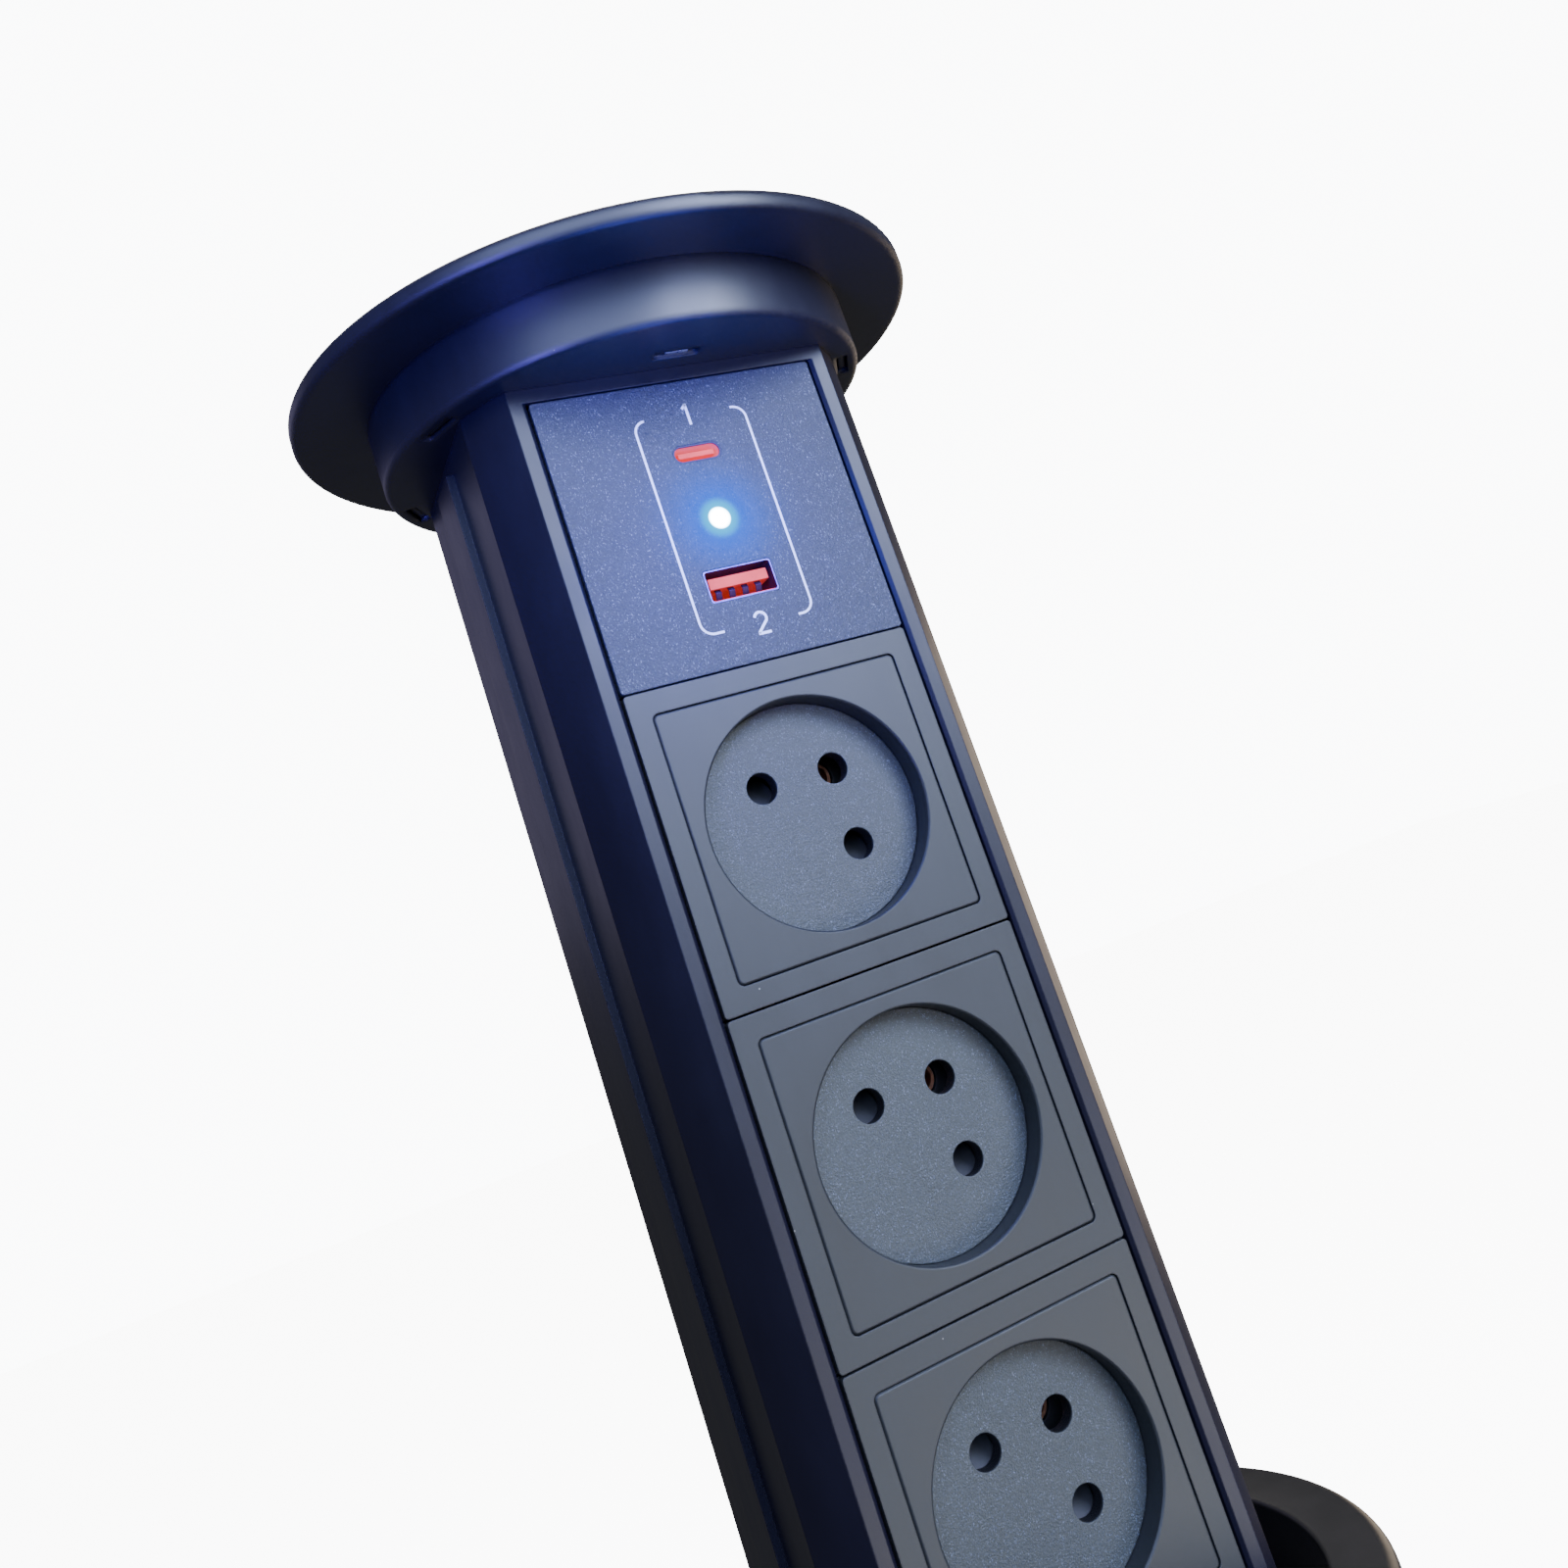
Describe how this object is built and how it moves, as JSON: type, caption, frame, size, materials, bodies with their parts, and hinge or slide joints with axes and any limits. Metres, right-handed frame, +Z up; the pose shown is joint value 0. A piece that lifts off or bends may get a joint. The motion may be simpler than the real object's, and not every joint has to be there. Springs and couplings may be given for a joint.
{
  "type": "pop up desk socket",
  "caption": "Round pop-up socket tower for a worktop: a keyed column with a USB panel and shuttered round-pin sockets slides up from a clamped desk ring.",
  "frame": {"origin": "on the column's axis at the worktop's top surface, with the column raised", "axes": "+Z up along the lift, -Y towards the person who faces the sockets, +X to that person's right"},
  "size_m": [0.132, 0.132, 0.33],
  "materials": {
    "satin_black": "satin moulded black",
    "cap_black": "satin moulded black, faint flow sheen",
    "panel_black": "coarse spark texture",
    "frame_black": "satin moulded black",
    "core_black": "fine spark texture",
    "inner_black": "plain moulded",
    "sleeve_black": "plain moulded",
    "nut_black": "ribbed grip, moulded",
    "gland_black": "moulded nylon",
    "catch_grey": "moulded acetal",
    "shutter_grey": "moulded light grey",
    "seal_rubber": "soft matt rubber",
    "steel_screws": "zinc plated",
    "spring_steel": "spring wire",
    "port_steel": "stamped and nickel plated",
    "contact_brass": "stamped brass",
    "tongue_orange": "moulded orange",
    "indicator_lens": "clear, lit blue from behind",
    "board_green": "solder mask",
    "transformer_yellow": "taped winding",
    "capacitor_black": "sleeved can"
  },
  "bodies": {
    "desk_mount": {"desk_bezel": "satin_black", "seal_gasket": "seal_rubber", "guide_sleeve": "sleeve_black", "sleeve_screws": "steel_screws", "wiper_seal": "seal_rubber"},
    "catch_body": {"catch": "catch_grey", "catch_spring": "spring_steel"},
    "washer_body": {"clamp_washer": "nut_black"},
    "nut_body": {"lock_nut": "nut_black"},
    "column": {"column_shell": "satin_black", "blank_panel": "frame_black", "cap_disc": "cap_black", "cap_ring": "cap_black", "cap_screws": "steel_screws", "foot_cap": "sleeve_black", "foot_screws": "steel_screws", "gland_body": "gland_black", "gland_seal": "seal_rubber", "gland_nut": "gland_black", "usb_panel": "panel_black", "usb_a_shell": "port_steel", "usb_a_tongue": "tongue_orange", "usb_a_contacts": "contact_brass", "usb_c_shell": "port_steel", "usb_c_tongue": "tongue_orange", "indicator_lens": "indicator_lens", "usb_board": "board_green", "usb_transformer": "transformer_yellow", "usb_capacitors": "capacitor_black", "usb_feed_pins": "contact_brass", "usb_rear_cover": "inner_black", "live_bar": "contact_brass", "neutral_bar": "contact_brass", "earth_bar": "contact_brass", "socket_frame_1": "frame_black", "socket_insert_1": "frame_black", "socket_core_1": "core_black", "shutter_spring_1": "spring_steel", "contact_block_1": "inner_black", "contacts_1": "contact_brass", "socket_frame_2": "frame_black", "socket_insert_2": "frame_black", "socket_core_2": "core_black", "shutter_spring_2": "spring_steel", "contact_block_2": "inner_black", "contacts_2": "contact_brass", "socket_frame_3": "frame_black", "socket_insert_3": "frame_black", "socket_core_3": "core_black", "shutter_spring_3": "spring_steel", "contact_block_3": "inner_black", "contacts_3": "contact_brass"},
    "shutter_body_1": {"shutter_1": "shutter_grey"},
    "shutter_body_2": {"shutter_2": "shutter_grey"},
    "shutter_body_3": {"shutter_3": "shutter_grey"}
  },
  "joints": [
    {"name": "column_lift", "type": "slide", "parent": "desk_mount", "child": "column", "axis": [0, 0, 1], "range_m": [-0.2314, 0]},
    {"name": "catch_slide", "type": "slide", "parent": "desk_mount", "child": "catch_body", "axis": [0, -1, 0], "range_m": [0, 0.0015], "stiffness_N_per_m": 300, "springref_m": 0.004},
    {"name": "clamp_slide", "type": "slide", "parent": "desk_mount", "child": "washer_body", "axis": [0, 0, 1], "range_m": [-0.018, 0.02]},
    {"name": "nut_turn", "type": "hinge", "parent": "washer_body", "child": "nut_body", "pos_m": [0, 0, -0.027], "axis": [0, 0, 1], "range_deg": [-1620, 1800]},
    {"name": "shutter_slide_1", "type": "slide", "parent": "column", "child": "shutter_body_1", "axis": [0, 0, -1], "range_m": [0, 0.00605], "stiffness_N_per_m": 40, "springref_m": -0.003, "deforming": ["shutter_spring_1"]},
    {"name": "shutter_slide_2", "type": "slide", "parent": "column", "child": "shutter_body_2", "axis": [0, 0, -1], "range_m": [0, 0.00605], "stiffness_N_per_m": 40, "springref_m": -0.003, "deforming": ["shutter_spring_2"]},
    {"name": "shutter_slide_3", "type": "slide", "parent": "column", "child": "shutter_body_3", "axis": [0, 0, -1], "range_m": [0, 0.00605], "stiffness_N_per_m": 40, "springref_m": -0.003, "deforming": ["shutter_spring_3"]}
  ],
  "couplings": [
    {"joint": "clamp_slide", "follows": "nut_turn", "m_per_rad": 0.00063662}
  ]
}
